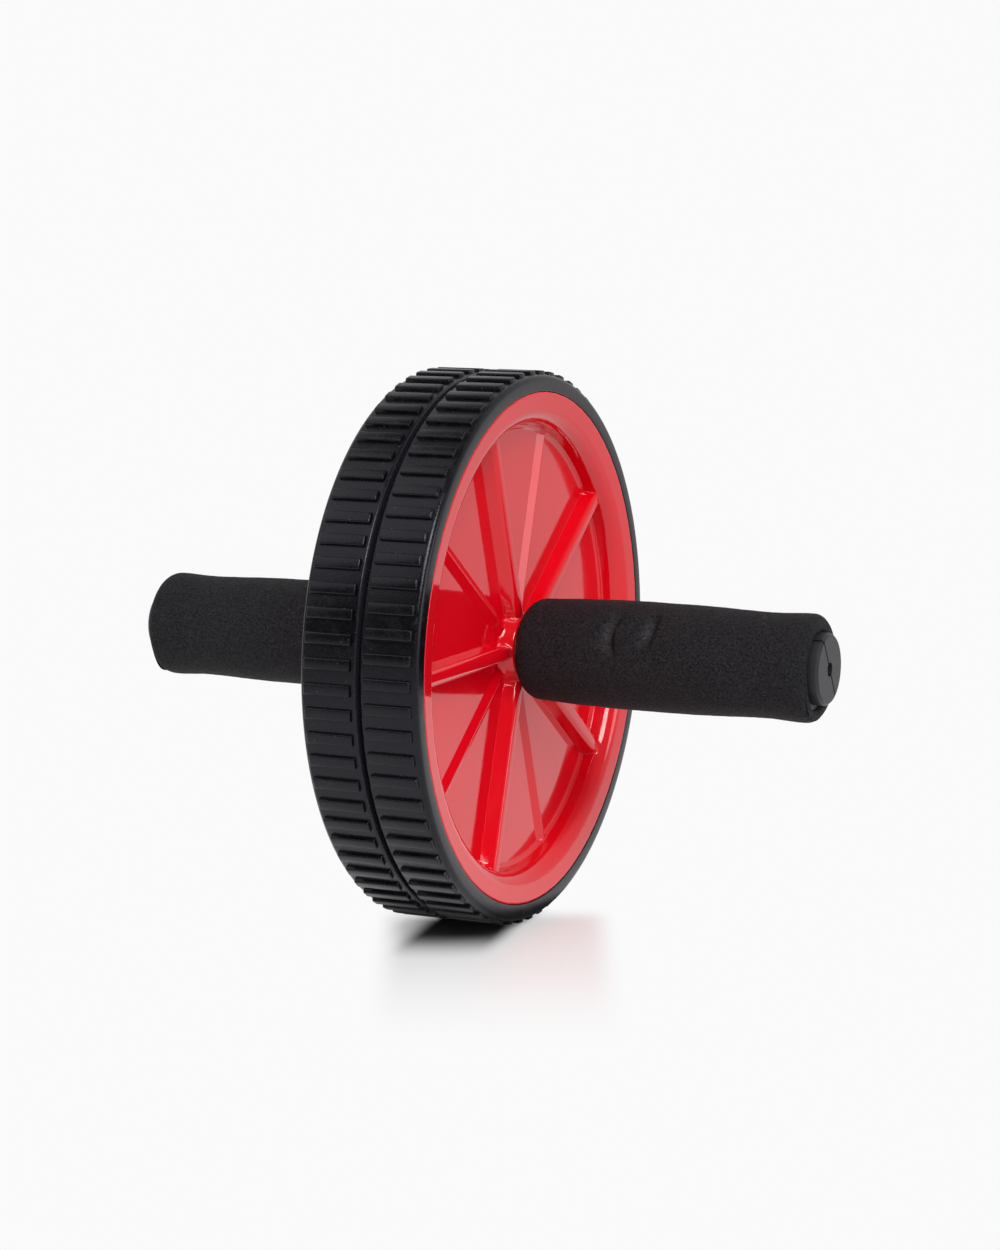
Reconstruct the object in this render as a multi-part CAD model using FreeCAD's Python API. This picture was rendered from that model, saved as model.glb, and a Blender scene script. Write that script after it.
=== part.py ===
import FreeCAD, Part
import math
import os

# An exercise wheel with two tyres side by side on one axle and a foam grip at each end.
# The axle lies along X, Z is up and the origin is the middle of the axle. Sizes are millimetres
# and angles are degrees, counted from +Y towards +Z.

# The pair of wheels
wheel_radius = 93.0
tyre_width = 19.8
wheel_gap = 1.7

# Tread and tyre
lug_count = 72
lug_height = 1.3
lug_base_width = 4.1
lug_top_width = 3.6
lug_outer_margin = 1.95
lug_gap_margin = 1.35
left_tread_phase = 1.25
right_tread_phase = 4.6
tyre_thickness = 5.65
tyre_shoulder_radius = 2.0
tyre_gap_edge_radius = 0.9

# The key that stops the tyre from walking off its rim
key_width = 6.0
key_height = 1.5
key_draft = 0.6
seat_clearance = 0.05

# Rim of the wheel moulding
flange_width = 7.3
flange_dish = 0.75
flange_edge_radius = 6.0
rim_outer_edge_radius = 0.5
rim_wall_run = 4.0
rim_wall_height = 7.55
rim_foot_radius = 1.6
rim_gap_recess = 0.4
rim_wall = 2.8

# Web, hub and ribs of the wheel moulding
web_depth = 9.12
web_thickness = 2.4
hub_base_radius = 13.2
hub_end_radius = 11.4
hub_end_depth = 3.65
hub_foot_radius = 1.5
hub_edge_radius = 0.6
rib_pair_count = 5
tall_rib_angle = 36.0
tall_rib_height = 5.1
tall_rib_base_width = 7.4
tall_rib_top_width = 4.8
tall_rib_edge_radius = 1.7
low_rib_height = 1.6
low_rib_base_width = 6.2
low_rib_top_width = 3.2
low_rib_edge_radius = 1.0
back_rib_height = 3.6
back_rib_width = 2.6
rib_root = 1.0

# Axle, bushes, spacer and washers
axle_radius = 6.0
axle_end_depth = 12.0
axle_chamfer = 0.8
bush_wall = 2.5
bush_chamfer = 0.4
running_clearance = 0.05
end_play = 0.2
spacer_thickness = 1.0
spacer_radius = 9.6
washer_thickness = 0.8
washer_radius = 10.6

# Handle core, moulded as two half shells that close round the axle
overall_length = 248.0
core_radius = 11.0
core_wall = 2.0
core_clearance = 0.03
split_angle = 121.0
split_gap = 0.3
core_inner_wall = 4.0
bulkhead_thickness = 5.0
bulkhead_count = 2
lock_rib_thickness = 3.0
lock_rib_depth = 1.0
lock_rib_axle_end = 6.0
lock_rib_side_gap = 0.1
lock_groove_overcut = 1.0
plug_radius = 11.87
plug_chamfer = 0.9
plug_hole_radius = 2.35
plug_wall = 5.6
stop_flange_radius = 13.6
stop_flange_thickness = 1.6
stop_flange_depth = 4.4
peg_radius = 0.9
peg_length = 2.0
peg_clearance = 0.1

# Foam grip
grip_radius = 18.1
grip_hub_radius = 17.0
grip_waist_radius = 17.2
grip_lip_radius = 17.75
grip_swell_start = 28.0
grip_palm_end_depth = 37.0
grip_waist_depth = 16.5
grip_lip_depth = 6.0
grip_hub_rounding = 6.0
grip_lip_rounding = 3.4
grip_plug_reach = 3.0
grip_mouth_radius = 12.2
grip_core_gap = 0.1

# Places along the axle, worked out for the right half
tyre_gap_x = wheel_gap / 2
tyre_face_x = tyre_gap_x + tyre_width
tread_radius = wheel_radius - lug_height
seat_radius = tread_radius - tyre_thickness
web_front_x = tyre_face_x - web_depth
web_back_x = web_front_x - web_thickness
hub_gap_x = spacer_thickness / 2 + end_play
hub_end_x = tyre_face_x - hub_end_depth
washer_x = hub_end_x + end_play
core_x = washer_x + washer_thickness
plug_end_x = overall_length / 2
grip_end_x = plug_end_x - grip_plug_reach
stop_flange_x = plug_end_x - stop_flange_depth - stop_flange_thickness
plug_wall_x = plug_end_x - plug_wall
axle_end_x = plug_end_x - axle_end_depth
lock_rib_x = axle_end_x - lock_rib_axle_end - lock_rib_thickness / 2
key_x = (tyre_gap_x + tyre_face_x) / 2
bush_radius = axle_radius + running_clearance + bush_wall
flange_inner_radius = seat_radius - flange_width
flange_back_x = tyre_face_x - flange_dish - rim_wall
rim_foot_x = tyre_face_x - flange_dish - rim_wall_height
rim_foot_wall_radius = flange_inner_radius - rim_wall_run
rim_foot_end_radius = rim_foot_wall_radius - rim_foot_radius
rib_hub_reach = (bush_radius + hub_end_radius) / 2
rib_rim_reach = flange_inner_radius - rim_wall_run / 2

AXLE = FreeCAD.Vector(1, 0, 0)
CENTRE = FreeCAD.Vector(0, 0, 0)


def rounded_wire(corners):
    """A closed wire in the XY plane through (x, y, radius) corners, each rounded by an arc."""
    stretches = []
    for i, (x, y, radius) in enumerate(corners):
        corner = FreeCAD.Vector(x, y, 0)
        back = FreeCAD.Vector(*corners[i - 1][:2], 0) - corner
        ahead = FreeCAD.Vector(*corners[(i + 1) % len(corners)][:2], 0) - corner
        back.normalize()
        ahead.normalize()
        half_angle = back.getAngle(ahead) / 2
        if radius == 0:
            stretches.append([corner])
            continue
        reach = radius / math.tan(half_angle)
        middle = back + ahead
        middle.normalize()
        sagitta = radius / math.sin(half_angle) - radius
        stretches.append([corner + back * reach, corner + middle * sagitta, corner + ahead * reach])
    edges = []
    for i, stretch in enumerate(stretches):
        if len(stretch) == 3:
            edges.append(Part.Arc(*stretch).toShape())
        following = stretches[(i + 1) % len(stretches)][0]
        if stretch[-1].distanceToPoint(following) > 1e-6:
            edges.append(Part.makeLine(stretch[-1], following))
    return Part.Wire(edges)


def turned(corners):
    """A solid turned about the axle from (along the axle, radius, rounding) corners."""
    return Part.Face(rounded_wire(corners)).revolve(CENTRE, AXLE, 360)


def ring(x, length, inner_radius, outer_radius, chamfer=0.0):
    """A plain ring about the axle, with its outer edges chamfered."""
    edge_radius = outer_radius - chamfer
    corners = [(x, inner_radius, 0), (x, edge_radius, 0)]
    if chamfer > 0:
        corners += [(x + chamfer, outer_radius, 0), (x + length - chamfer, outer_radius, 0)]
    corners += [(x + length, edge_radius, 0), (x + length, inner_radius, 0)]
    return turned(corners)


def rod(x, length, radius):
    return Part.makeCylinder(radius, length, FreeCAD.Vector(x, 0, 0), AXLE)


def about_axle(shape, angle):
    return shape.rotated(CENTRE, AXLE, angle)


def to_left(shape):
    return shape.mirror(CENTRE, AXLE)


def tyre(phase):
    """The right tyre: a flat tread with a row of straight lugs, grooved inside for the rim's key."""
    seat = seat_radius + seat_clearance
    key_top = seat_radius + key_height + seat_clearance
    key_half = key_width / 2 + seat_clearance
    band = turned([
        (tyre_gap_x, seat, 0),
        (tyre_gap_x, tread_radius, tyre_gap_edge_radius),
        (tyre_face_x, tread_radius, tyre_shoulder_radius),
        (tyre_face_x, seat, 0),
        (key_x + key_half, seat, 0),
        (key_x + key_half - key_draft, key_top, 0),
        (key_x - key_half + key_draft, key_top, 0),
        (key_x - key_half, seat, 0),
    ])
    lug_start = tyre_gap_x + lug_gap_margin
    lug_length = tyre_width - lug_gap_margin - lug_outer_margin
    root_radius = tread_radius - lug_height / 2
    root_width = lug_base_width + (lug_base_width - lug_top_width) / 2
    outline = [
        FreeCAD.Vector(lug_start, root_radius, -root_width / 2),
        FreeCAD.Vector(lug_start, wheel_radius, -lug_top_width / 2),
        FreeCAD.Vector(lug_start, wheel_radius, lug_top_width / 2),
        FreeCAD.Vector(lug_start, root_radius, root_width / 2),
    ]
    section = Part.Face(Part.makePolygon(outline + outline[:1]))
    lug = section.extrude(FreeCAD.Vector(lug_length, 0, 0))
    pitch = 360.0 / lug_count
    lugs = [about_axle(lug, phase + i * pitch) for i in range(lug_count)]
    return band.fuse(lugs)


def front_rib(height, foot_width, top_width, edge_radius):
    """A rib in front of the web along +Y, from inside the hub boss to inside the rim wall."""
    root_x = web_front_x - rib_root
    top_x = web_front_x + height
    wire = rounded_wire([
        (root_x, -foot_width / 2, 0),
        (web_front_x, -foot_width / 2, 0),
        (top_x, -top_width / 2, edge_radius),
        (top_x, top_width / 2, edge_radius),
        (web_front_x, foot_width / 2, 0),
        (root_x, foot_width / 2, 0),
    ])
    wire.rotate(CENTRE, AXLE, 90)
    wire.translate(FreeCAD.Vector(0, rib_hub_reach, 0))
    return Part.Face(wire).extrude(FreeCAD.Vector(0, rib_rim_reach - rib_hub_reach, 0))


def back_rib():
    """A thin fin behind the web, from the hub out to the barrel under the tyre."""
    edge_x = web_back_x - back_rib_height
    web_middle_x = web_back_x + web_thickness / 2
    barrel_reach = seat_radius - rim_wall / 2
    outline = rounded_wire([
        (edge_x, rib_hub_reach, 0),
        (edge_x, barrel_reach, 0),
        (flange_back_x + rim_wall / 2, barrel_reach, 0),
        (flange_back_x + rim_wall / 2, flange_inner_radius + rim_wall / 2, 0),
        (rim_foot_x, rim_foot_wall_radius + rim_wall / 2, 0),
        (web_middle_x, rim_foot_end_radius, 0),
        (web_middle_x, rib_hub_reach, 0),
    ])
    fin = Part.Face(outline).extrude(FreeCAD.Vector(0, 0, back_rib_width))
    return fin.translated(FreeCAD.Vector(0, 0, -back_rib_width / 2))


def ribs():
    """Ribs of the right moulding: tall and low ones by turns in front, thin fins behind."""
    tall = front_rib(tall_rib_height, tall_rib_base_width, tall_rib_top_width, tall_rib_edge_radius)
    low = front_rib(low_rib_height, low_rib_base_width, low_rib_top_width, low_rib_edge_radius)
    back = back_rib()
    pair_pitch = 360.0 / rib_pair_count
    turns = [tall_rib_angle + i * pair_pitch for i in range(rib_pair_count)]
    half_turns = [turn + pair_pitch / 2 for turn in turns]
    return ([about_axle(tall, turn) for turn in turns]
            + [about_axle(low, turn) for turn in half_turns]
            + [about_axle(back, turn) for turn in turns + half_turns])


def wheel_moulding():
    """The right wheel as two solids that meet at the rim's foot: the ribbed disc and the rim."""
    rim_gap_x = tyre_gap_x + rim_gap_recess
    key_top = seat_radius + key_height
    body = turned([
        (hub_gap_x, bush_radius, 0),
        (hub_end_x, bush_radius, 0),
        (hub_end_x, hub_end_radius, hub_edge_radius),
        (web_front_x, hub_base_radius, hub_foot_radius),
        (web_front_x, rim_foot_end_radius, 0),
        (rim_foot_x, rim_foot_wall_radius, 0),
        (tyre_face_x - flange_dish, flange_inner_radius, flange_edge_radius),
        (tyre_face_x, seat_radius, rim_outer_edge_radius),
        (key_x + key_width / 2, seat_radius, 0),
        (key_x + key_width / 2 - key_draft, key_top, 0),
        (key_x - key_width / 2 + key_draft, key_top, 0),
        (key_x - key_width / 2, seat_radius, 0),
        (rim_gap_x, seat_radius, 0),
        (rim_gap_x, seat_radius - rim_wall, 0),
        (flange_back_x, seat_radius - rim_wall, 0),
        (flange_back_x, flange_inner_radius + rim_wall, 0),
        (web_back_x, rim_foot_wall_radius + rim_foot_radius, 0),
        (web_back_x, hub_base_radius, hub_foot_radius),
        (hub_gap_x, hub_end_radius, 0),
    ])
    moulding = body.fuse(ribs()).removeSplitter()
    inside_rim = rod(hub_gap_x, tyre_face_x - hub_gap_x, rim_foot_end_radius)
    return moulding.common(inside_rim), moulding.cut(inside_rim)


def hub_bush():
    """The sleeve pressed into a hub, which turns on the axle."""
    length = hub_end_x - hub_gap_x
    return ring(hub_gap_x, length, axle_radius + running_clearance, bush_radius, bush_chamfer)


def axle():
    """The steel rod, with a groove near each end that the handle's lock ribs drop into."""
    bar = turned([
        (-axle_end_x, 0, 0),
        (-axle_end_x, axle_radius - axle_chamfer, 0),
        (-axle_end_x + axle_chamfer, axle_radius, 0),
        (axle_end_x - axle_chamfer, axle_radius, 0),
        (axle_end_x, axle_radius - axle_chamfer, 0),
        (axle_end_x, 0, 0),
    ])
    groove_length = lock_rib_thickness + 2 * lock_rib_side_gap
    groove = ring(lock_rib_x - groove_length / 2, groove_length,
                  axle_radius - lock_rib_depth, axle_radius + lock_groove_overcut)
    return bar.cut([groove, to_left(groove)])


def bulkhead_places():
    """Where the handle core's bulkheads start, evenly spread between its end wall and lock rib."""
    first = core_x + core_inner_wall
    last = lock_rib_x - lock_rib_thickness / 2
    bay = (last - first - bulkhead_count * bulkhead_thickness) / (bulkhead_count + 1)
    return [first + bay + i * (bay + bulkhead_thickness) for i in range(bulkhead_count)]


def core():
    """The right handle core as one piece: a tube on bulkheads, ending in a stop flange and a plug."""
    lock_start = lock_rib_x - lock_rib_thickness / 2
    lock_end = lock_rib_x + lock_rib_thickness / 2
    tube = turned([
        (core_x, 0, 0),
        (core_x, core_radius, 0),
        (stop_flange_x, core_radius, 0),
        (stop_flange_x, stop_flange_radius, 0),
        (stop_flange_x + stop_flange_thickness, stop_flange_radius, 0),
        (stop_flange_x + stop_flange_thickness, plug_radius, 0),
        (plug_end_x - plug_chamfer, plug_radius, 0),
        (plug_end_x, plug_radius - plug_chamfer, 0),
        (plug_end_x, 0, 0),
    ])
    bore_radius = axle_radius + core_clearance
    hollows = [
        rod(core_x, lock_start - core_x, bore_radius),
        rod(lock_start, lock_rib_thickness, bore_radius - lock_rib_depth),
        rod(lock_end, plug_wall_x - lock_end, core_radius - core_wall),
        rod(plug_wall_x, plug_wall, plug_hole_radius),
    ]
    starts = [core_x + core_inner_wall] + [place + bulkhead_thickness for place in bulkhead_places()]
    for start, end in zip(starts, bulkhead_places() + [lock_start]):
        hollows.append(rod(start, end - start, core_radius - core_wall))
    return tube.cut(hollows)


def core_pegs(radius, length):
    """Pegs across the split, one on each side of the axle in every bulkhead."""
    middle = (axle_radius + core_radius) / 2
    pegs = []
    for place in bulkhead_places():
        for side in (-middle, middle):
            foot = FreeCAD.Vector(place + bulkhead_thickness / 2, side, 0)
            pegs.append(Part.makeCylinder(radius, length, foot, FreeCAD.Vector(0, 0, 1)))
    return pegs


def core_halves():
    """The right core split lengthways: the half with pegs first, then the half with their holes."""
    flat_core = core()
    reach = 2 * stop_flange_radius
    block = Part.makeBox(overall_length, reach, reach, FreeCAD.Vector(0, -reach / 2, split_gap / 2))
    other_block = about_axle(block, 180)
    pegs = [peg.translated(FreeCAD.Vector(0, 0, -split_gap)) for peg in core_pegs(peg_radius, peg_length)]
    holes = core_pegs(peg_radius + peg_clearance, peg_length)
    pegged = flat_core.common(other_block).fuse(pegs)
    holed = flat_core.common(block).cut(holes)
    return about_axle(pegged, split_angle), about_axle(holed, split_angle)


def foam_grip():
    """The right foam sleeve: swollen in the palm, waisted near its end and lipped round the plug."""
    bore = core_radius + grip_core_gap
    flange_end = stop_flange_x + stop_flange_thickness + grip_core_gap
    flange_bore = stop_flange_radius + grip_core_gap
    return turned([
        (core_x, bore, 0),
        (core_x, grip_hub_radius, grip_hub_rounding),
        (core_x + grip_swell_start, grip_radius, 0),
        (grip_end_x - grip_palm_end_depth, grip_radius, 0),
        (grip_end_x - grip_waist_depth, grip_waist_radius, 0),
        (grip_end_x - grip_lip_depth, grip_lip_radius, 0),
        (grip_end_x, grip_lip_radius, grip_lip_rounding),
        (grip_end_x, grip_mouth_radius, 0),
        (flange_end, grip_mouth_radius, 0),
        (flange_end, flange_bore, 0),
        (stop_flange_x - grip_core_gap, flange_bore, 0),
        (stop_flange_x - grip_core_gap, bore, 0),
    ])


def build():
    disc, rim = wheel_moulding()
    bush = hub_bush()
    washer = ring(washer_x, washer_thickness, axle_radius + core_clearance, washer_radius)
    pegged_half, holed_half = core_halves()
    grip = foam_grip()
    spacer_bore = axle_radius + core_clearance
    return {
        "axle_rod": axle(),
        "centre_spacer": ring(-spacer_thickness / 2, spacer_thickness, spacer_bore, spacer_radius),
        "left_tyre": to_left(tyre(left_tread_phase)),
        "right_tyre": tyre(right_tread_phase),
        "left_wheel_disc": to_left(disc),
        "right_wheel_disc": disc,
        "left_wheel_rim": to_left(rim),
        "right_wheel_rim": rim,
        "left_hub_bush": to_left(bush),
        "right_hub_bush": bush,
        "left_thrust_washer": to_left(washer),
        "right_thrust_washer": washer,
        "left_core_pegged_half": to_left(pegged_half),
        "right_core_pegged_half": pegged_half,
        "left_core_holed_half": to_left(holed_half),
        "right_core_holed_half": holed_half,
        "left_foam_grip": to_left(grip),
        "right_foam_grip": grip,
    }


os.makedirs("parts", exist_ok=True)
for node, shape in build().items():
    shape.exportStep(os.path.join("parts", node + ".step"))
    print(node, "valid" if shape.isValid() else "NOT VALID", "solids", len(shape.Solids),
          "volume %.0f mm3" % shape.Volume)
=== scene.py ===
import math

import bmesh
import bpy
import numpy as np
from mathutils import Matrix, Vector, noise


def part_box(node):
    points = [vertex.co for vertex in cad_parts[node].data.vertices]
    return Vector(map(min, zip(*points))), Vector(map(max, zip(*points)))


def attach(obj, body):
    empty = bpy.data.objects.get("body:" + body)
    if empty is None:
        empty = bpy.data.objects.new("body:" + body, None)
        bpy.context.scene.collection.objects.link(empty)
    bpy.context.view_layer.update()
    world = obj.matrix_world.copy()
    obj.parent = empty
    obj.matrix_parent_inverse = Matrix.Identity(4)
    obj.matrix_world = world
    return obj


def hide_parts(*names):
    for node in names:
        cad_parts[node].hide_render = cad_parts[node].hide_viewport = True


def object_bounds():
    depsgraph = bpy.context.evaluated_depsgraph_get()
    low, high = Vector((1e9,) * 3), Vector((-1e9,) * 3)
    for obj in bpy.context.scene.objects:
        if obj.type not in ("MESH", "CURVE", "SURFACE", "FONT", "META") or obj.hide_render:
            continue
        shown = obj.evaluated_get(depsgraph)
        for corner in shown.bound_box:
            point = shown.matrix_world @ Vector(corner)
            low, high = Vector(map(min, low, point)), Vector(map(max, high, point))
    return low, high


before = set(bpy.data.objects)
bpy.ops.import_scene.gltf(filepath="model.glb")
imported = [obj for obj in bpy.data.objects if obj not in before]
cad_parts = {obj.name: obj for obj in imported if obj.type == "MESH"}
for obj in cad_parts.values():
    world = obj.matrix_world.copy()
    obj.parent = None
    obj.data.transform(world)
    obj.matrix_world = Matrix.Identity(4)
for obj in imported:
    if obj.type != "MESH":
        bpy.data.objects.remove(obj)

# An exercise wheel: two lugged tyres on glossy red ribbed wheels, with a foam grip over each handle core.
# The axle lies along X, Z is up and the origin is the middle of the axle. Sizes here are millimetres, and
# MM turns them into the frame's metres. Angles are degrees. Those round the axle count from +Y towards +Z,
# and azimuths count from -Y towards +X.

MM = 0.001
# Point attribute that carries the painted light on the foam's creases: painted highlight, and painted shade
# below 0
PAINTED_CREASE_LIGHT = "painted_crease_light"
MIRROR_X = ((-1, 0, 0, 0), (0, 1, 0, 0), (0, 0, 1, 0), (0, 0, 0, 1))
# The sockets of a Mix node that are for colours, and those of a Random Value node that are for numbers
MIX_FIRST, MIX_SECOND, MIX_RESULT = 6, 7, 2
RANDOM_LOW, RANDOM_HIGH, RANDOM_RESULT = 2, 3, 1
cad_low, cad_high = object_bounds()


def node_box(node):
    """The lowest and highest corner of a CAD node in millimetres."""
    low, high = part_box(node)
    return low / MM, high / MM


tyre_low, tyre_high = node_box("right_tyre")
rim_low, _ = node_box("right_wheel_rim")
disc_low, disc_high = node_box("right_wheel_disc")
_, bush_high = node_box("right_hub_bush")
foam_low, foam_high = node_box("right_foam_grip")

# Points of a rounded corner: the fewest, and how many more for each millimetre of its rounding
arc_least_points = 5
arc_points_per_mm = 2
# A stretch of an outline is flat if x changes by less than this share of the change in radius, and if it is
# longer than this many guard distances
flat_share = 0.1
flat_least_guards = 4

# Tyre and tread
lug_count = 72
lug_height = 1.3
lug_base_width = 4.1
lug_top_width = 3.6
lug_end_draft = 0.2
lug_edge_rounding = 0.45
lug_edge_segments = 3
lug_root_depth = 0.5
lug_outer_margin = 1.95
lug_gap_margin = 1.35
# How far each lug strays in angle, and by what share in length
lug_wander = 0.12
lug_wander_seed = 7
lug_length_spread = 0.008
lug_length_seed = 11
tread_phases = {"left": 1.25, "right": 4.6}
tyre_gap_x = tyre_low.x
tyre_face_x = tyre_high.x
tyre_thickness = 5.65
tyre_shoulder_rounding = 2.0
tyre_gap_rounding = 0.9
tyre_seat_rounding = 0.35
tyre_angle_step = 1.0
tyre_sharp_angle = 40.0
# Distances from the outer face, and from the gap, between which the tread's grain and the painted light on
# the gap's faces end
tread_grain_edge = (0.7, 0.2)
gap_light_edge = (0.05, 0.5)
wheel_radius = tyre_high.z
tread_radius = wheel_radius - lug_height
seat_radius = tread_radius - tyre_thickness
# The key round the rim that holds the tyre
key_width = 6.0
key_height = 1.5
key_draft = 0.6
key_x = (tyre_gap_x + tyre_face_x) / 2
seat_clearance = 0.05

# Wheel moulding
flange_width = 9.78
flange_dish = 0.98
flange_edge_rounding = 5.9
rim_outer_rounding = 0.5
rim_wall_run = 1.52
rim_wall_height = 7.32
rim_ledge_run = 0.85
rim_ledge_drop = 0.2
rim_foot_rounding = 0.4
rim_wall = 2.8
rim_gap_x = rim_low.x
web_setback = 9.12
web_thickness = 2.4
web_front_x = tyre_face_x - web_setback
web_back_x = web_front_x - web_thickness
hub_end_x = disc_high.x
hub_gap_x = disc_low.x
hub_bore = bush_high.z
hub_base_radius = 13.2
hub_end_radius = 11.4
hub_foot_rounding = 1.5
hub_edge_rounding = 0.6
flange_inner_radius = seat_radius - flange_width
rim_foot_radius = flange_inner_radius - rim_wall_run
rim_foot_end_radius = disc_high.z
rim_foot_x = tyre_face_x - flange_dish - rim_wall_height
wheel_sharp_angle = 50.0

# Ribs on the web, tall and low by turns. Inside the held radius they keep the angle that they have there
rib_pairs = 5
tall_rib_angle = 36.0
rib_columns_between = 5
rib_held_radius = 15.5
# Fillet where a rib runs into hub or rim, limited by its height and never quite nothing
junction_fillet = 0.8
junction_fillet_share = 0.6
least_fillet = 1e-9

# Foam grip
grip_start_x = foam_low.x
grip_end_x = foam_high.x
grip_bore = 11.1
grip_hub_radius = 17.0
grip_hub_rounding = 6.0
# Radius of the foam along the handle, as (distance along the axle, radius)
grip_line = [(25, 17.05), (29.5, 17.3), (34, 17.5), (38, 17.7), (47, 18.0), (52, 18.1), (60, 18.1),
             (68, 18.08), (77, 18.0), (85, 17.9), (90, 17.72), (94, 17.55), (98, 17.4), (102, 17.25),
             (106, 17.25), (110, 17.45), (114, 17.68), (117, 17.75)]
grip_lip_radius = 17.7
grip_lip_rounding = 3.4
grip_mouth_radius = 12.25
grip_mouth_rounding = 0.9
grip_mouth_depth = 1.3
plug_pocket_radius = 13.7
plug_pocket_depth = 3.2
grip_rows = 280
grip_rows_smoothed = 2
grip_angle_step = 1.8
grip_sharp_angle = 60.0
# Unevenness of the foam's skin as (height, size)
foam_lumps = [(0.10, 7.0), (0.05, 1.7)]
# Creases pressed into the right grip, as (distance along the axle, angle) points. Each has a long slope
# towards the hub and a short wall, and fades at its ends
grip_creases = [[(56.2, 122), (54.0, 144), (54.3, 160), (56.2, 174)],
                [(69.0, 122), (68.3, 136), (67.2, 164)]]
crease_depth = 2.7
crease_slope = 4.6
crease_slope_end = 1.2
crease_wall = 0.7
crease_fade_power = 0.7
# Painted light on the creases: a painted highlight on a crease's slope, at an offset from its bottom, and
# painted shade in the bottom
slope_highlight = 0.95
slope_highlight_offset = 2.6
slope_highlight_width = 1.8
bottom_painted_shade = 1.6
# The mouth gapes round one angle, over a reach along the axle and inside a radius
mouth_gape = 2.1
mouth_gape_angle = 246.0
mouth_gape_spread = 26.0
mouth_gape_reach = 4.0
mouth_gape_radius = 15.5

# Split of the handle core, with the distances from it where its dark line starts to fade and ends
core_split_angle = 121.0
core_split_edge = (0.32, 0.52)

# Camera, fitted to the photo: its direction from the object, distance and aim
camera_azimuth = 24.858
camera_elevation = 8.57
camera_distance = 1118.5
camera_aim = (6.18, 6.61)
camera_lens = 95.33
camera_sensor = 36.0
camera_reach = 100000.0

# White floor
paper_white = 0.956
floor_half = 30000.0
floor_colour = 0.82
floor_bounce = 0.72
floor_roughness = 0.35
floor_specular = 0.12
# The floor keeps its own shading in a patch in front of the wheels, and a painted shadow darkens its colour
# where they touch it. Each band has its middle, half width and soft edge across the view, and each rise or
# fade has the distances towards the camera where it starts and ends
shade_band = (5.0, 35.5, 6.0)
shade_rise = (-10.0, 14.0)
shade_fade = (75.0, 170.0)
shade_depth = 0.7
contact_band = (-7.0, 15.5, 4.5)
contact_fade = (28.0, 66.0)
contact_lean = 0.25
painted_contact_shadow = 0.07
# How bright the floor's glow is in the gloss: near the wheels, how much less far off, and the painted
# shadow right under them
floor_mirrored = 1.1
floor_mirrored_drop = 0.28
floor_mirrored_reach = (250.0, 600.0)
floor_mirrored_dark = 0.08
floor_mirrored_shadow = (30.0, 55.0)

# What the gloss mirrors above the floor: a dark room in front, paler at the sides and behind, and dimmed
# overhead. Side and behind have what they add, and overhead the share that it takes away, each with the two
# cosines between which it changes
room_front_azimuth = 10.0
room_dark = 0.07
room_side = (0.30, 0.52, 0.76)
room_behind = (0.32, -0.45, 0.0)
room_overhead = (0.6, 0.7, 0.95)
# Bright panels in that room as (azimuth, elevation), the angles where their edge ends and starts, and level
panels = [((102, 6), (15, 9), 3.2), ((38, 41), (15, 12), 13.0)]
ambient_level = 0.42
# Soft lamps as name, (azimuth, elevation), strength, spread in degrees and whether the gloss mirrors it
lamps = [("key_box", (38, 42), 1.45, 26, False), ("left_box", (-50, 48), 0.6, 56, True),
         ("overhead", (20, 75), 0.5, 60, False), ("right_box", (95, 20), 0.6, 45, False),
         ("front_box", (0, 20), 0.75, 60, False)]


class Wire:
    """One output socket in a node tree. Arithmetic on wires adds Math nodes to the same tree."""

    def __init__(self, tree, socket):
        self.tree = tree
        self.socket = socket

    @classmethod
    def node(cls, tree, kind, settings=None, inputs=None, output=0):
        """A new node: its settings are set first, then its inputs get values or wires."""
        made = tree.nodes.new(kind)
        for name, value in (settings or {}).items():
            setattr(made, name, value)
        for name, value in (inputs or {}).items():
            if isinstance(value, Wire):
                tree.links.new(value.socket, made.inputs[name])
            else:
                made.inputs[name].default_value = value
        return cls(tree, made.outputs[output])

    def math(self, operation, *values):
        """A Math node on values or wires."""
        return Wire.node(self.tree, "ShaderNodeMath", {"operation": operation}, dict(enumerate(values)))

    def __add__(self, other):
        return self.math("ADD", self, other)

    def __sub__(self, other):
        return self.math("SUBTRACT", self, other)

    def __rsub__(self, other):
        return self.math("SUBTRACT", other, self)

    def __mul__(self, other):
        return self.math("MULTIPLY", self, other)

    def __truediv__(self, other):
        return self.math("DIVIDE", self, other)

    def __abs__(self):
        return self.math("ABSOLUTE", self)

    __radd__ = __add__
    __rmul__ = __mul__

    def larger(self, other):
        """The larger of two wires."""
        return self.math("MAXIMUM", self, other)

    def within(self, low, high):
        """0 below low, 1 above high, smooth between."""
        inputs = {"Value": self, "From Min": low, "From Max": high}
        return Wire.node(self.tree, "ShaderNodeMapRange", {"interpolation_type": "SMOOTHSTEP"}, inputs)


def new_finish(name, roughness, colour, **constants):
    """A material with one Principled shader whose constant sockets are set here."""
    material = bpy.data.materials.new(name)
    material.use_nodes = True
    tree = material.node_tree
    shader = tree.nodes["Principled BSDF"]
    shader.inputs["Base Color"].default_value = (*colour, 1)
    shader.inputs["Roughness"].default_value = roughness
    for socket, value in constants.items():
        shader.inputs[socket.replace("_", " ")].default_value = value
    return material, tree, shader


def place_of(tree):
    """Object coordinates."""
    return Wire.node(tree, "ShaderNodeTexCoord", output="Object")


def grain(tree, size, detail=2.0, roughness=0.5, place=None):
    """Noise from 0 to 1 whose lumps are about size millimetres across."""
    inputs = {"Vector": place or place_of(tree), "Scale": 1 / (size * MM), "Detail": detail,
              "Roughness": roughness}
    return Wire.node(tree, "ShaderNodeTexNoise", {"noise_dimensions": "3D"}, inputs)


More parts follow.
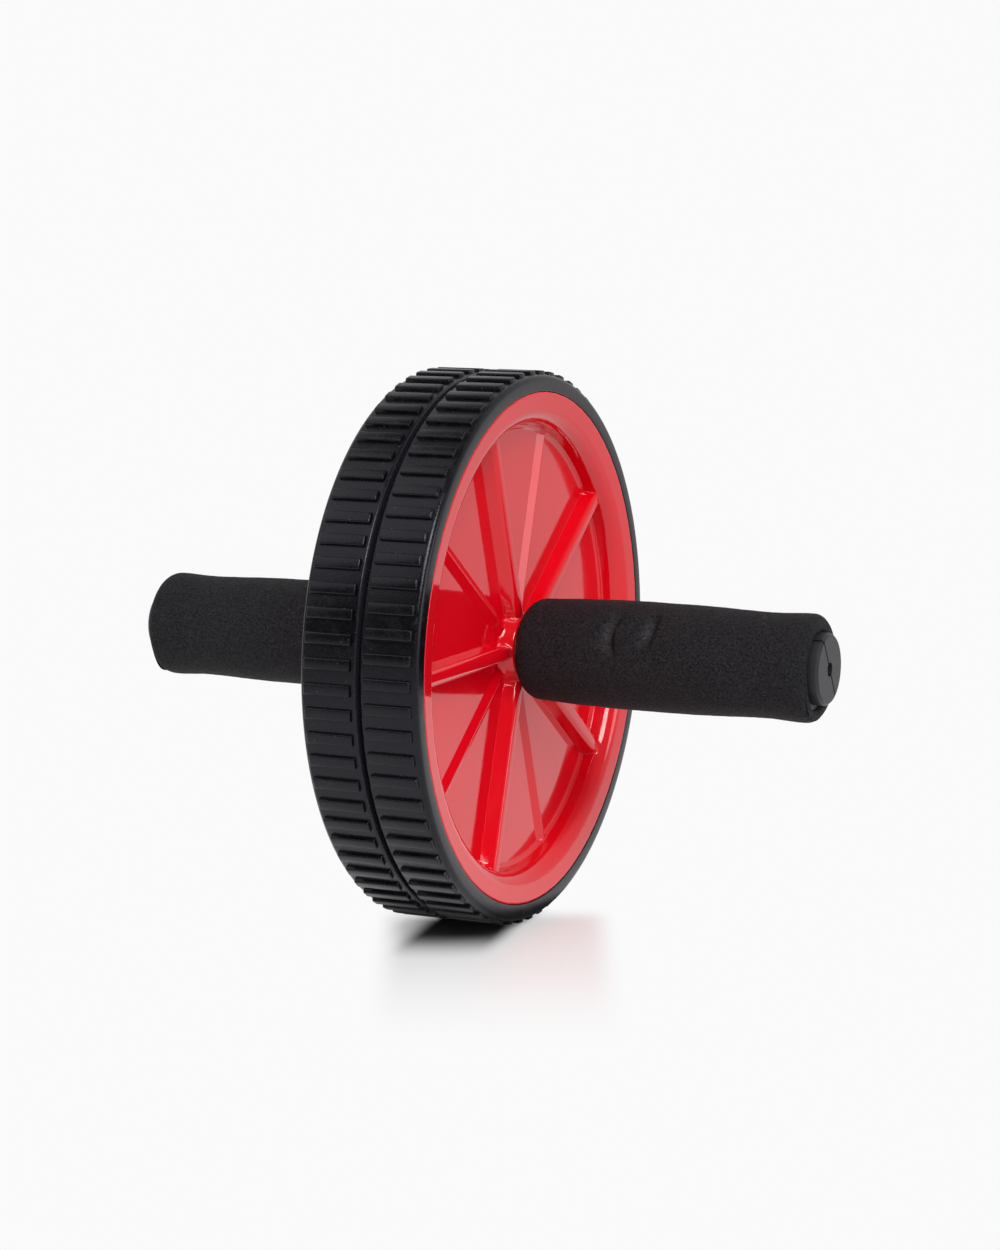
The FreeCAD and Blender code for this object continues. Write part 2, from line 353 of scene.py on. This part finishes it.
def cells(tree, size):
    """Distances in a pattern of random cells about size millimetres across."""
    inputs = {"Vector": place_of(tree), "Scale": 1 / (size * MM)}
    return Wire.node(tree, "ShaderNodeTexVoronoi", {"feature": "F1"}, inputs, "Distance")


def mixed(tree, share, first, second):
    """A colour between two colours or wires."""
    inputs = {"Factor": share,
              MIX_FIRST: (*first, 1) if isinstance(first, tuple) else first,
              MIX_SECOND: (*second, 1) if isinstance(second, tuple) else second}
    return Wire.node(tree, "ShaderNodeMix", {"data_type": "RGBA"}, inputs, MIX_RESULT)


def bumped(tree, height, depth):
    """A normal from a height of 0 to 1 that stands for depth millimetres."""
    inputs = {"Height": height, "Distance": depth * MM, "Strength": 1.0}
    return Wire.node(tree, "ShaderNodeBump", None, inputs)


def along(vector, towards):
    """How far a vector wire reaches in a direction."""
    inputs = {0: vector, 1: tuple(towards)}
    return Wire.node(vector.tree, "ShaderNodeVectorMath", {"operation": "DOT_PRODUCT"}, inputs, "Value")


def part_of(vector, axis):
    """The X, Y or Z of a vector wire."""
    return Wire.node(vector.tree, "ShaderNodeSeparateXYZ", None, {0: vector}, axis)


def feed(node, socket, wire):
    """Links a wire to a node's input."""
    wire.tree.links.new(wire.socket, node.inputs[socket])


def glossy_red():
    """Polished red moulding: mirror-like, with faint flow waves, smears and a little haze."""
    deep_red = (0.66, 0.0009, 0.0085)
    bright_red = (0.72, 0.0014, 0.0105)
    material, tree, shader = new_finish("glossy_red", 0.08, (0.69, 0.0011, 0.0095), IOR=1.5)
    clouds = grain(tree, size=22, detail=3)
    feed(shader, "Base Color", mixed(tree, clouds, deep_red, bright_red))
    smears = grain(tree, size=9, detail=4, roughness=0.6).within(0.42, 0.75)
    feed(shader, "Roughness", 0.05 + 0.09 * smears)
    waves = grain(tree, size=16, detail=1) + 0.06 * grain(tree, size=1.6, detail=1)
    feed(shader, "Normal", bumped(tree, waves, depth=0.05))
    return material


def tread_rubber():
    """Satin black rubber: fine mould grain, dull scuffs, paler mottling, a few specks of dust, and painted
    light at the gap between the tyres.
    """
    clean_black = (0.0012, 0.0011, 0.0018)
    worn_black = (0.0062, 0.0058, 0.0074)
    dust_colour = (0.20, 0.19, 0.17)
    gap_painted_light = (0.020, 0.020, 0.026)
    material, tree, shader = new_finish("tread_rubber", 0.3, (0.004, 0.0038, 0.005),
                                        Specular_IOR_Level=0.3, Specular_Tint=(0.86, 0.88, 1.0, 1.0))
    from_middle = abs(part_of(place_of(tree), "X"))
    on_tread = 1 - from_middle.within(*((tyre_face_x - edge) * MM for edge in tread_grain_edge))
    in_gap_light = 1 - from_middle.within(*((tyre_gap_x + edge) * MM for edge in gap_light_edge))
    scuffs = grain(tree, size=5, detail=5, roughness=0.65).within(0.42, 0.75)
    mottle = on_tread * grain(tree, size=0.9, detail=4, roughness=0.7).within(0.35, 0.72)
    specks = 1 - cells(tree, size=3.0).within(0.05, 0.10)
    dust = on_tread * specks * grain(tree, size=14).within(0.45, 0.6)
    tone = mixed(tree, 0.5 * scuffs + 0.5 * mottle, clean_black, worn_black)
    dusty = mixed(tree, 0.2 * dust, tone, dust_colour)
    # Painted light: the faces at the gap between the tyres are paler than the rubber
    feed(shader, "Base Color", mixed(tree, in_gap_light, dusty, gap_painted_light))
    feed(shader, "Roughness", 0.21 + 0.12 * scuffs + 0.06 * mottle)
    mould_grain = on_tread * grain(tree, size=0.5) + grain(tree, size=4)
    feed(shader, "Normal", bumped(tree, mould_grain, depth=0.045))
    return material


def grip_foam():
    """Closed-cell foam: a dense grain of tiny cells, dull, with a painted highlight on a crease's slope and
    painted shade in it.
    """
    pore_black = (0.0018, 0.0018, 0.0025)
    skin_black = (0.0355, 0.0352, 0.0400)
    highlight_pore = (0.014, 0.014, 0.016)
    highlight_skin = (0.085, 0.084, 0.092)
    crease_shade_black = (0.0008, 0.0008, 0.001)
    material, tree, shader = new_finish("grip_foam", 0.66, (0.014, 0.0137, 0.015), Specular_IOR_Level=0.14)
    pores = cells(tree, size=0.75).within(0.08, 0.6)
    lumps = grain(tree, size=0.8, detail=4, roughness=0.7).within(0.34, 0.68)
    speckle = 0.4 * pores + 0.6 * lumps
    tone = mixed(tree, speckle, pore_black, skin_black)
    highlighted = mixed(tree, speckle, highlight_pore, highlight_skin)
    # Painted light on the creases: lighter on a slope as a painted highlight, darker in the bottom as
    # painted shade
    painted_crease_light = Wire.node(tree, "ShaderNodeAttribute", {"attribute_name": PAINTED_CREASE_LIGHT}, None, "Fac")
    slope_highlighted = mixed(tree, painted_crease_light, tone, highlighted)
    feed(shader, "Base Color", mixed(tree, 0 - painted_crease_light, slope_highlighted, crease_shade_black))
    feed(shader, "Normal", bumped(tree, pores + lumps, depth=0.6))
    return material


def core_plastic():
    """Dark grey moulding with a dull eroded mould texture and a dark line along its split."""
    dark_grey = (0.013, 0.0135, 0.0163)
    light_grey = (0.020, 0.0207, 0.024)
    split_black = (0.002, 0.002, 0.0025)
    material, tree, shader = new_finish("core_plastic", 0.45, (0.018, 0.019, 0.022),
                                        Specular_IOR_Level=0.36)
    tone = mixed(tree, grain(tree, size=4, detail=3), dark_grey, light_grey)
    split = math.radians(core_split_angle)
    from_split = abs(along(place_of(tree), (0, -math.sin(split), math.cos(split))))
    seam = 1 - from_split.within(*(distance * MM for distance in core_split_edge))
    feed(shader, "Base Color", mixed(tree, seam, tone, split_black))
    feed(shader, "Roughness", 0.40 + 0.12 * grain(tree, size=1.5, detail=3) + 0.4 * seam)
    feed(shader, "Normal", bumped(tree, grain(tree, size=0.35), depth=0.02))
    return material


def natural_nylon():
    """Cream nylon with faint clouding."""
    dull_cream = (0.66, 0.64, 0.57)
    pale_cream = (0.76, 0.74, 0.68)
    material, tree, shader = new_finish("natural_nylon", 0.4, (0.7, 0.68, 0.61))
    feed(shader, "Base Color", mixed(tree, grain(tree, size=5, detail=3), dull_cream, pale_cream))
    feed(shader, "Roughness", 0.34 + 0.14 * grain(tree, size=1.2))
    return material


def drawn_steel():
    """Bright drawn bar with fine lines along its length."""
    line_stretch = (0.02, 1, 1)
    material, tree, shader = new_finish("drawn_steel", 0.3, (0.58, 0.58, 0.59), Metallic=1.0)
    stretched = Wire.node(tree, "ShaderNodeMapping", None,
                          {"Vector": place_of(tree), "Scale": line_stretch})
    lines = grain(tree, size=0.3, detail=3, roughness=0.6, place=stretched)
    feed(shader, "Roughness", 0.2 + 0.2 * lines)
    feed(shader, "Normal", bumped(tree, lines, depth=0.01))
    return material


def rounded_outline(corners):
    """Points through (x, radius, rounding) corners, with an arc at each corner that has a rounding."""
    points = []
    for i, (x, radius, rounding) in enumerate(corners):
        corner = np.array([x, radius])
        if rounding == 0:
            points.append(corner)
            continue
        back = np.array(corners[i - 1][:2]) - corner
        ahead = np.array(corners[(i + 1) % len(corners)][:2]) - corner
        back /= np.linalg.norm(back)
        ahead /= np.linalg.norm(ahead)
        middle = back + ahead
        middle /= np.linalg.norm(middle)
        half_angle = math.acos(np.clip(back @ ahead, -1, 1)) / 2
        centre = corner + middle * rounding / math.sin(half_angle)
        side = back - middle * (back @ middle)
        side /= np.linalg.norm(side)
        count = arc_least_points + arc_points_per_mm * round(rounding)
        for turn in np.linspace(1, -1, count) * (math.pi / 2 - half_angle):
            points.append(centre + rounding * (side * math.sin(turn) - middle * math.cos(turn)))
    return np.array(points)


def divided(points, flat_step, steep_step, guard):
    """The same line with more points: few on its flat stretches, which get guard points near their ends."""
    result = [points[0]]
    for start, end in zip(points[:-1], points[1:]):
        change_x, change_radius = np.abs(end - start)
        length = math.hypot(change_x, change_radius)
        if change_x < flat_share * change_radius and length > flat_least_guards * guard:
            count = max(1, math.ceil(length / flat_step))
            shares = [0, guard / length, *np.linspace(0, 1, count + 1)[1:-1], 1 - guard / length, 1]
        else:
            shares = np.linspace(0, 1, max(1, math.ceil(length / steep_step)) + 1)
        result += [start + (end - start) * share for share in shares[1:]]
    return np.array(result)


def evened(line):
    """The same line with evenly spaced points, each the mean of a few neighbours."""
    travelled = np.concatenate([[0], np.cumsum(np.hypot(*np.diff(line, axis=0).T))])
    places = np.linspace(0, travelled[-1], grip_rows)
    even = np.stack([np.interp(places, travelled, line[:, i]) for i in (0, 1)], -1)
    reach = grip_rows_smoothed
    shifted = [even[reach + shift:len(even) - reach + shift] for shift in range(-reach, reach + 1)]
    smoothed = even.copy()
    smoothed[reach:-reach] = sum(shifted) / len(shifted)
    return smoothed


def linked_object(name, data):
    """A new object in the scene."""
    made = bpy.data.objects.new(name, data)
    bpy.context.scene.collection.objects.link(made)
    return made


def smooth_shaded(mesh, sharp_angle):
    """Shades a mesh smooth, with hard edges above an angle."""
    mesh.polygons.foreach_set("use_smooth", [True] * len(mesh.polygons))
    mesh.set_sharp_from_angle(angle=math.radians(sharp_angle))


def finished_object(name, mesh, material, sharp_angle):
    """A smooth-shaded object of a closed mesh, with its faces turned outwards."""
    shape = bmesh.new()
    shape.from_mesh(mesh)
    if shape.calc_volume(signed=True) < 0:
        bmesh.ops.reverse_faces(shape, faces=shape.faces[:])
    shape.to_mesh(mesh)
    shape.free()
    smooth_shaded(mesh, sharp_angle)
    mesh.materials.append(material)
    return linked_object(name, mesh)


def ring_mesh(name, rows):
    """A closed ring: each row of points runs once round the axle, and the last row joins the first."""
    rows = np.asarray(rows)
    count, columns = rows.shape[:2]
    here = np.arange(count * columns).reshape(count, columns)
    ahead = np.roll(here, -1, axis=0)
    faces = np.stack([here, np.roll(here, -1, axis=1), np.roll(ahead, -1, axis=1), ahead], -1)
    mesh = bpy.data.meshes.new(name)
    mesh.from_pydata((rows.reshape(-1, 3) * MM).tolist(), [], faces.reshape(-1, 4).tolist())
    return mesh


def turned_row(x, radius, angles):
    """A row of points round the axle, where x and radius may change with the angle."""
    turn = np.radians(angles)
    return np.stack([np.full_like(turn, x), radius * np.cos(turn), radius * np.sin(turn)], -1)


def mirrored(rows, side):
    """Right-hand rows as they are, or mirrored to the left."""
    return np.asarray(rows) * ((1, 1, 1) if side == "right" else (-1, 1, 1))


def rib_outline(half_foot, half_top, height, edge_rounding, foot_rounding, guard=0.25):
    """(offset, height) points across half a rib, from its middle line to the web beside it."""
    points = rounded_outline([
        (0, height, 0),
        (half_top, height, edge_rounding),
        (half_foot, 0, foot_rounding),
        (half_foot + 2 * foot_rounding, 0, 0),
    ])
    return np.vstack([points, points[-1] + np.array([guard, 0])])


tall_rib = rib_outline(half_foot=3.7, half_top=2.45, height=5.1, edge_rounding=2.1, foot_rounding=0.15)
low_rib = rib_outline(half_foot=3.3, half_top=0.2, height=1.5, edge_rounding=0.6, foot_rounding=0.15)


def rib_columns(radius):
    """Angles and rib heights of the moulding's columns of points on a circle of this radius."""
    held_radius = max(radius, rib_held_radius)
    angles, heights = [], []
    pitch = 180.0 / rib_pairs
    for i in range(2 * rib_pairs):
        rib, following = (tall_rib, low_rib) if i % 2 == 0 else (low_rib, tall_rib)
        start = tall_rib_angle + i * pitch
        climb = start + np.degrees(np.arcsin(rib[:, 0] / held_radius))
        descend = start + pitch - np.degrees(np.arcsin(following[:0:-1, 0] / held_radius))
        between = np.linspace(climb[-1], descend[0], rib_columns_between + 2)[1:-1]
        angles += [climb, between, descend]
        heights += [rib[:, 1], np.zeros_like(between), following[:0:-1, 1]]
    return np.concatenate(angles), np.concatenate(heights)


def wheel_moulding(side, material):
    """The red wheel: hub boss, web, tall and low ribs by turns, sloped rim wall and dished flange."""
    key_half = key_width / 2
    flange_back_x = tyre_face_x - flange_dish - rim_wall
    front = divided(rounded_outline([
        (hub_end_x, hub_bore, 0),
        (hub_end_x, hub_end_radius, hub_edge_rounding),
        (web_front_x, hub_base_radius, hub_foot_rounding),
        (web_front_x, rim_foot_end_radius, rim_foot_rounding),
        (rim_foot_x - rim_ledge_drop, rim_foot_radius - rim_ledge_run, rim_foot_rounding),
        (rim_foot_x, rim_foot_radius, rim_foot_rounding),
        (tyre_face_x - flange_dish, flange_inner_radius, flange_edge_rounding),
        (tyre_face_x, seat_radius, rim_outer_rounding),
        (key_x + key_half, seat_radius, 0),
    ]), flat_step=8.0, steep_step=0.4, guard=0.2)
    behind = [
        (key_x + key_half - key_draft, seat_radius + key_height),
        (key_x - key_half + key_draft, seat_radius + key_height),
        (key_x - key_half, seat_radius),
        (rim_gap_x, seat_radius),
        (rim_gap_x, seat_radius - rim_wall),
        (flange_back_x, seat_radius - rim_wall),
        (flange_back_x, flange_inner_radius + rim_wall),
        (web_back_x, 2 * rim_foot_radius - rim_foot_end_radius),
        (web_back_x, hub_base_radius),
        (hub_gap_x, hub_end_radius),
        (hub_gap_x, hub_bore),
    ]
    rows = []
    for x, radius in front:
        angles, heights = rib_columns(radius)
        fillet = np.minimum(junction_fillet, junction_fillet_share * heights) + least_fillet
        near = np.clip(fillet - np.abs(web_front_x + heights - x), 0, None)
        merged = np.maximum(x, web_front_x + heights) + near ** 2 / (4 * fillet)
        rows.append(turned_row(merged, radius, angles))
    for x, radius in behind:
        rows.append(turned_row(x, radius, rib_columns(radius)[0]))
    name = side + "_red_wheel"
    mesh = ring_mesh(name, mirrored(rows, side))
    piece = finished_object(name, mesh, material, wheel_sharp_angle)
    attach(piece, side + "_wheel")
    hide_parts(side + "_wheel_disc", side + "_wheel_rim")


def lug_shape():
    """One straight tread lug with drafted ends and rounded edges, standing at +Y."""
    inner_x = tyre_gap_x + lug_gap_margin
    outer_x = tyre_face_x - lug_outer_margin
    levels = [(tread_radius - lug_root_depth, lug_base_width, 0.0),
              (wheel_radius, lug_top_width, lug_end_draft)]
    points = [(x, radius, z)
              for radius, width, draft in levels
              for x, z in ((inner_x + draft, -width / 2), (outer_x - draft, -width / 2),
                           (outer_x - draft, width / 2), (inner_x + draft, width / 2))]
    sides = [(i, i + 4, (i + 1) % 4 + 4, (i + 1) % 4) for i in range(4)]
    mesh = bpy.data.meshes.new("lug")
    mesh.from_pydata([(x * MM, y * MM, z * MM) for x, y, z in points], [],
                     [(0, 1, 2, 3), (4, 7, 6, 5)] + sides)
    shape = bmesh.new()
    shape.from_mesh(mesh)
    foot = tread_radius * MM
    edges = [edge for edge in shape.edges if max(v.co.y for v in edge.verts) > foot]
    bmesh.ops.bevel(shape, geom=edges, offset=lug_edge_rounding * MM, segments=lug_edge_segments,
                    profile=0.5, affect="EDGES", clamp_overlap=True)
    bmesh.ops.recalc_face_normals(shape, faces=shape.faces[:])
    shape.to_mesh(mesh)
    shape.free()
    smooth_shaded(mesh, tyre_sharp_angle)
    return mesh


def tread_tree():
    """Geometry Nodes that set a row of lugs round the tyre's band."""
    tree = bpy.data.node_groups.new("tread_lugs", "GeometryNodeTree")
    sockets = [("Geometry", "NodeSocketGeometry"), ("Lug", "NodeSocketObject"),
               ("Count", "NodeSocketInt"), ("Phase", "NodeSocketFloat"), ("Wander", "NodeSocketFloat"),
               ("Rubber", "NodeSocketMaterial")]
    for name, kind in sockets:
        tree.interface.new_socket(name, in_out="INPUT", socket_type=kind)
    tree.interface.new_socket("Geometry", in_out="OUTPUT", socket_type="NodeSocketGeometry")

    def random_between(low, high, seed):
        inputs = {RANDOM_LOW: low, RANDOM_HIGH: high, "Seed": seed}
        return Wire.node(tree, "FunctionNodeRandomValue", {"data_type": "FLOAT"}, inputs, RANDOM_RESULT)

    given = tree.nodes.new("NodeGroupInput").outputs[:len(sockets)]
    band, lug, count, phase, wander, rubber = (Wire(tree, socket) for socket in given)
    shape = Wire.node(tree, "GeometryNodeObjectInfo", None, {"Object": lug}, "Geometry")
    points = Wire.node(tree, "GeometryNodePoints", None, {"Count": count})
    turn = Wire.node(tree, "GeometryNodeInputIndex") * (2 * math.pi) / count
    stray = random_between(-1.0, 1.0, lug_wander_seed)
    spin = Wire.node(tree, "ShaderNodeCombineXYZ", None, {"X": turn + phase + wander * stray})
    length = random_between(1 - lug_length_spread, 1 + lug_length_spread, lug_length_seed)
    size = Wire.node(tree, "ShaderNodeCombineXYZ", None, {"X": length, "Y": 1.0, "Z": 1.0})
    lugs = Wire.node(tree, "GeometryNodeInstanceOnPoints", None,
                     {"Points": points, "Instance": shape, "Rotation": spin, "Scale": size})
    joined = tree.nodes.new("GeometryNodeJoinGeometry")
    for wire in (lugs, band):
        tree.links.new(wire.socket, joined.inputs[0])
    solid = Wire.node(tree, "GeometryNodeRealizeInstances", None,
                      {"Geometry": Wire(tree, joined.outputs[0])})
    dressed = Wire.node(tree, "GeometryNodeSetMaterial", None, {"Geometry": solid, "Material": rubber})
    out = tree.nodes.new("NodeGroupOutput")
    tree.links.new(dressed.socket, out.inputs[0])
    return tree


def tyre(side, material, tree):
    """A lugged tyre: a flat band with rounded shoulders, keyed inside, and its row of lugs."""
    seat = seat_radius + seat_clearance
    key_top = seat + key_height
    key_half = key_width / 2 + seat_clearance
    outline = rounded_outline([
        (tyre_gap_x, seat, 0),
        (tyre_gap_x, tread_radius, tyre_gap_rounding),
        (tyre_face_x, tread_radius, tyre_shoulder_rounding),
        (tyre_face_x, seat, tyre_seat_rounding),
        (key_x + key_half, seat, 0),
        (key_x + key_half - key_draft, key_top, 0),
        (key_x - key_half + key_draft, key_top, 0),
        (key_x - key_half, seat, 0),
    ])
    angles = np.arange(0, 360, tyre_angle_step)
    rows = [turned_row(x, radius, angles) for x, radius in outline]
    name = side + "_lugged_tyre"
    band = finished_object(name, ring_mesh(name, mirrored(rows, side)), material, tyre_sharp_angle)
    lug_mesh = lug_shape()
    if side == "left":
        lug_mesh.transform(MIRROR_X)
        lug_mesh.flip_normals()
    lug = linked_object("lug", lug_mesh)
    row = band.modifiers.new("tread", "NODES")
    row.node_group = tree
    inputs = {"Lug": lug, "Count": lug_count, "Phase": math.radians(tread_phases[side]),
              "Wander": math.radians(lug_wander), "Rubber": material}
    for socket in tree.interface.items_tree:
        if socket.in_out == "INPUT" and socket.name in inputs:
            row[socket.identifier] = inputs[socket.name]
    bpy.context.view_layer.update()
    whole = bpy.data.meshes.new_from_object(band.evaluated_get(bpy.context.evaluated_depsgraph_get()))
    band.modifiers.remove(row)
    band.data = whole
    whole.name = name
    bpy.data.objects.remove(lug)
    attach(band, side + "_wheel")
    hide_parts(side + "_tyre")


def grip_outlines():
    """The foam's skin, from its bore at the hub round to its mouth, and the plug's pocket in the mouth."""
    mouth_x = grip_end_x - grip_mouth_depth
    pocket_x = grip_end_x - plug_pocket_depth
    skin = rounded_outline([
        (grip_start_x, grip_bore, 0),
        (grip_start_x, grip_hub_radius, grip_hub_rounding),
        *[(x, radius, 0) for x, radius in grip_line],
        (grip_end_x, grip_lip_radius, grip_lip_rounding),
        (grip_end_x, grip_mouth_radius, grip_mouth_rounding),
        (mouth_x, grip_mouth_radius, 0),
    ])
    pocket = [(mouth_x, plug_pocket_radius), (pocket_x, plug_pocket_radius), (pocket_x, grip_bore)]
    return skin, pocket


def uneven_swell(x, radius, angles):
    """How far the uneven foam stands out at each angle of a row."""
    swell = np.zeros_like(angles)
    for i, angle in enumerate(angles):
        turn = math.radians(angle)
        spot = Vector((x, radius * math.cos(turn), radius * math.sin(turn)))
        swell[i] = sum(height * noise.noise(spot / size) for height, size in foam_lumps)
    return swell


def crease_press(crease, x, angles):
    """How deep a crease is at each angle of a row, and its painted light: a painted highlight, or below 0
    painted shade.
    """
    middle = np.interp(angles, [angle for _, angle in crease], [place for place, _ in crease])
    first, last = crease[0][1], crease[-1][1]
    share = np.clip((angles - first) / (last - first), 0, 1)
    fade = np.sin(np.pi * share) ** crease_fade_power
    offset = x - middle
    width = np.where(offset < 0, crease_slope_end + crease_slope * fade, crease_wall)
    depth = crease_depth * fade * np.exp(-(offset / width) ** 2)
    # A painted highlight on the slope, and painted shade in the bottom
    slope = slope_highlight * fade * np.exp(-((offset + slope_highlight_offset) / slope_highlight_width) ** 2)
    bottom = bottom_painted_shade * fade * np.exp(-((offset - crease_wall / 2) / crease_wall) ** 2)
    return depth, slope - bottom


def mouth_swell(x, radius, angles):
    """How far the foam's mouth gapes at each angle of a row."""
    away = (angles - mouth_gape_angle + 180) % 360 - 180
    gape = mouth_gape * np.exp(-(away / mouth_gape_spread) ** 2)
    start_x = grip_end_x - mouth_gape_reach
    return gape * np.clip((x - start_x) / mouth_gape_reach, 0, 1) * (radius < mouth_gape_radius)


def foam_grip(side, material):
    """A foam sleeve: rounded at the hub, swollen in the palm, waisted, with a soft lip round the plug."""
    skin, pocket = grip_outlines()
    creases = grip_creases if side == "right" else []
    angles = np.arange(0, 360, grip_angle_step)
    rows, painted_crease_light = [], []
    for x, radius in evened(skin):
        swell = uneven_swell(x, radius, angles)
        painted_light = np.zeros_like(angles)
        for crease in creases:
            depth, tone = crease_press(crease, x, angles)
            swell -= depth
            painted_light += tone
        swell += mouth_swell(x, radius, angles)
        rows.append(turned_row(x, radius + swell, angles))
        painted_crease_light.append(painted_light)
    for x, radius in pocket:
        rows.append(turned_row(x, radius, angles))
        painted_crease_light.append(np.zeros_like(angles))
    name = side + "_foam_sleeve"
    piece = finished_object(name, ring_mesh(name, mirrored(rows, side)), material, grip_sharp_angle)
    shares = piece.data.attributes.new(PAINTED_CREASE_LIGHT, "FLOAT", "POINT")
    shares.data.foreach_set("value", np.concatenate(painted_crease_light))
    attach(piece, "handlebar")
    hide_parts(side + "_foam_grip")


def dress_nodes(materials):
    """Gives the CAD nodes that no piece replaces their finishes."""
    for node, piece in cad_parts.items():
        for part, material in materials.items():
            if part in node:
                piece.data.materials.clear()
                piece.data.materials.append(material)


def direction(azimuth, elevation):
    """A unit vector from the object."""
    turn, rise = math.radians(azimuth), math.radians(elevation)
    return Vector((math.sin(turn) * math.cos(rise), -math.cos(turn) * math.cos(rise), math.sin(rise)))


def set_camera():
    """The camera that was fitted to the photo."""
    back = direction(camera_azimuth, camera_elevation)
    right = direction(camera_azimuth + 90, 0)
    up = back.cross(right)
    data = bpy.data.cameras.new("camera")
    data.sensor_fit = "VERTICAL"
    data.sensor_height = camera_sensor
    data.lens = camera_lens
    data.clip_end = camera_reach * MM
    camera = linked_object("camera", data)
    camera.location = (back * camera_distance + right * camera_aim[0] + up * camera_aim[1]) * MM
    camera.rotation_euler = (-back).to_track_quat("-Z", "Y").to_euler()
    bpy.context.scene.camera = camera


def ray_kinds(tree):
    """Two wires: 1 for what the camera sees directly, and 1 for what a gloss mirrors."""
    path = tree.nodes.new("ShaderNodeLightPath")
    return [Wire(tree, path.outputs[name]) for name in ("Is Camera Ray", "Is Glossy Ray")]


def level_by_ray(in_view, in_mirror, other, gloss_level):
    """A brightness: paper white in view, gloss_level where a gloss mirrors it, and other for the rest."""
    return other + (paper_white - other) * in_view + (gloss_level - other) * in_mirror


def floor_shade(place):
    """Two wires: how much of the floor's own shading shows, and where the wheels touch the floor, the mask
    of its painted contact shadow.
    """
    seen = Wire.node(place.tree, "ShaderNodeMapping", {"vector_type": "TEXTURE"}, {
        "Vector": place, "Rotation": (0, 0, math.radians(camera_azimuth)), "Scale": (MM, MM, 1)})
    across = part_of(seen, "X")
    nearer = 0 - part_of(seen, "Y")

    def band(offset, middle, half, soft):
        return 1 - abs(offset - middle).within(half - soft, half + soft)

    contact = band(across + contact_lean * (nearer - contact_fade[0]), *contact_band)
    contact = contact * (1 - abs(nearer).within(*contact_fade))
    patch = band(across, *shade_band) * nearer.within(*shade_rise) * (1 - nearer.within(*shade_fade))
    patch = patch * (shade_depth + (1 - shade_depth) * contact)
    return patch.larger(contact), contact


def floor_in_gloss(place):
    """How bright the floor's glow looks where a gloss mirrors it, with a painted shadow right under the
    wheels.
    """
    tree = place.tree
    flat = Wire.node(tree, "ShaderNodeVectorMath", {"operation": "MULTIPLY"}, {0: place, 1: (1, 1, 0)})
    distance = Wire.node(tree, "ShaderNodeVectorMath", {"operation": "LENGTH"}, {0: flat}, "Value")
    far = distance.within(*(edge * MM for edge in floor_mirrored_reach))
    lit = distance.within(*(edge * MM for edge in floor_mirrored_shadow))
    bright = floor_mirrored - floor_mirrored_drop * far
    return bright * (floor_mirrored_dark + (1 - floor_mirrored_dark) * lit)


def set_floor():
    """A white floor that keeps its own shadow in front of the wheels, has a painted shadow where they touch
    it, and is plain white elsewhere.
    """
    material, tree, shader = new_finish("white_floor", floor_roughness, (floor_colour,) * 3,
                                        Specular_IOR_Level=floor_specular)
    place = place_of(tree)
    shade, contact = floor_shade(place)
    # Painted shadow: the floor's colour darkens where the wheels touch it
    feed(shader, "Base Color", floor_colour * (1 - (1 - painted_contact_shadow) * contact))
    in_view, in_mirror = ray_kinds(tree)
    level = level_by_ray(in_view, in_mirror, floor_bounce, floor_in_gloss(place))
    glow = Wire.node(tree, "ShaderNodeEmission", None, {"Strength": level})
    plain = (1 - shade).larger(in_mirror)
    blend = Wire.node(tree, "ShaderNodeMixShader", None,
                      {"Fac": plain, 1: Wire(tree, shader.outputs[0]), 2: glow})
    feed(tree.nodes["Material Output"], "Surface", blend)
    half = floor_half * MM
    corners = [(-half, -half), (half, -half), (half, half), (-half, half)]
    mesh = bpy.data.meshes.new("floor")
    mesh.from_pydata([(x, y, cad_low.z) for x, y in corners], [], [(0, 1, 2, 3)])
    mesh.materials.append(material)
    floor = linked_object("floor", mesh)


def set_light():
    """Soft lamps, plain white in view, and a studio for the gloss to mirror."""
    world = bpy.data.worlds.new("surround")
    bpy.context.scene.world = world
    world.use_nodes = True
    tree = world.node_tree
    sight = Wire.node(tree, "ShaderNodeTexCoord", output="Generated")
    front = along(sight, direction(room_front_azimuth, 0))
    upward = along(sight, (0, 0, 1))
    side_level, *side_edge = room_side
    behind_level, *behind_edge = room_behind
    overhead_share, *overhead_edge = room_overhead
    room = (room_dark + side_level * (1 - front.within(*side_edge))
            + behind_level * (1 - front.within(*behind_edge)))
    room = room * (1 - overhead_share * upward.within(*overhead_edge))
    for towards, edge, brightness in panels:
        outer, inner = (math.cos(math.radians(angle)) for angle in edge)
        room = room + brightness * along(sight, direction(*towards)).within(outer, inner)
    background = tree.nodes["Background"]
    background.inputs["Color"].default_value = (1, 1, 1, 1)
    feed(background, "Strength", level_by_ray(*ray_kinds(tree), ambient_level, room))
    for name, towards, strength, spread, in_gloss in lamps:
        lamp = bpy.data.lights.new(name, "SUN")
        lamp.energy = strength
        lamp.angle = math.radians(spread)
        holder = linked_object(name, lamp)
        holder.rotation_euler = direction(*towards).to_track_quat("Z", "Y").to_euler()
        holder.visible_glossy = in_gloss


red = glossy_red()
rubber = tread_rubber()
foam = grip_foam()
tread_nodes = tread_tree()
for side in ("left", "right"):
    wheel_moulding(side, red)
    tyre(side, rubber, tread_nodes)
    foam_grip(side, foam)
nylon = natural_nylon()
dress_nodes({"core": core_plastic(), "bush": nylon, "washer": nylon, "spacer": nylon,
             "axle": drawn_steel()})
set_camera()
set_floor()
set_light()
bpy.context.scene.view_settings.view_transform = "Standard"
